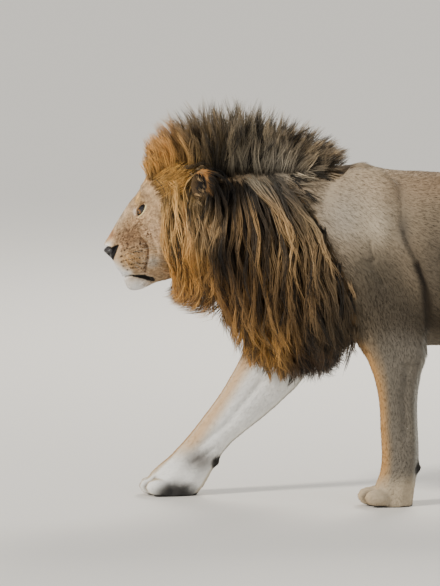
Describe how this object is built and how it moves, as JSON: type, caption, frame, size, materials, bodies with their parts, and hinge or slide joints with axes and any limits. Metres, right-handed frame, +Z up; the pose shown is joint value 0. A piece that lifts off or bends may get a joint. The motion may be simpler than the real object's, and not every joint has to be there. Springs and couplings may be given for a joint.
{
  "type": "lion",
  "caption": "Life-size male lion walking with its head low and one forepaw reaching forward, full mane, as a still model for display.",
  "frame": {"origin": "on the floor, at the middle of the animal's length and width", "axes": "-X towards the head, +Z up, -Y towards the animal's left side, which is the side the picture shows"},
  "size_m": [2.0184, 0.4898, 1.2331],
  "materials": {
    "coat": "short grey-brown fur, matt",
    "face": "very short tan fur, matt",
    "chin": "short white fur, matt",
    "mane": "long hair, gold to dark brown",
    "dark_mane": "long dark grey-brown hair",
    "eye": "wet amber eye",
    "nose": "dark damp nose leather"
  },
  "bodies": {
    "root": {"neck": "coat", "chest": "coat", "belly": "coat", "rump": "coat", "tail_root": "coat", "tail_middle": "coat", "foreleg_left_upper": "coat", "foreleg_left_forearm": "coat", "foreleg_left_paw": "coat", "hindleg_left_thigh": "coat", "hindleg_left_shank": "coat", "hindleg_left_foot": "coat", "foreleg_right_upper": "coat", "foreleg_right_forearm": "coat", "foreleg_right_paw": "coat", "hindleg_right_thigh": "coat", "hindleg_right_shank": "coat", "hindleg_right_foot": "coat", "head": "face", "ear_left": "face", "ear_right": "face", "lower_jaw": "chin", "eye_left": "eye", "eye_right": "eye", "nose": "nose", "mane_left": "mane", "mane_right": "mane", "mane_chest": "mane", "mane_crest": "dark_mane", "tail_tuft": "dark_mane"}
  },
  "joints": []
}
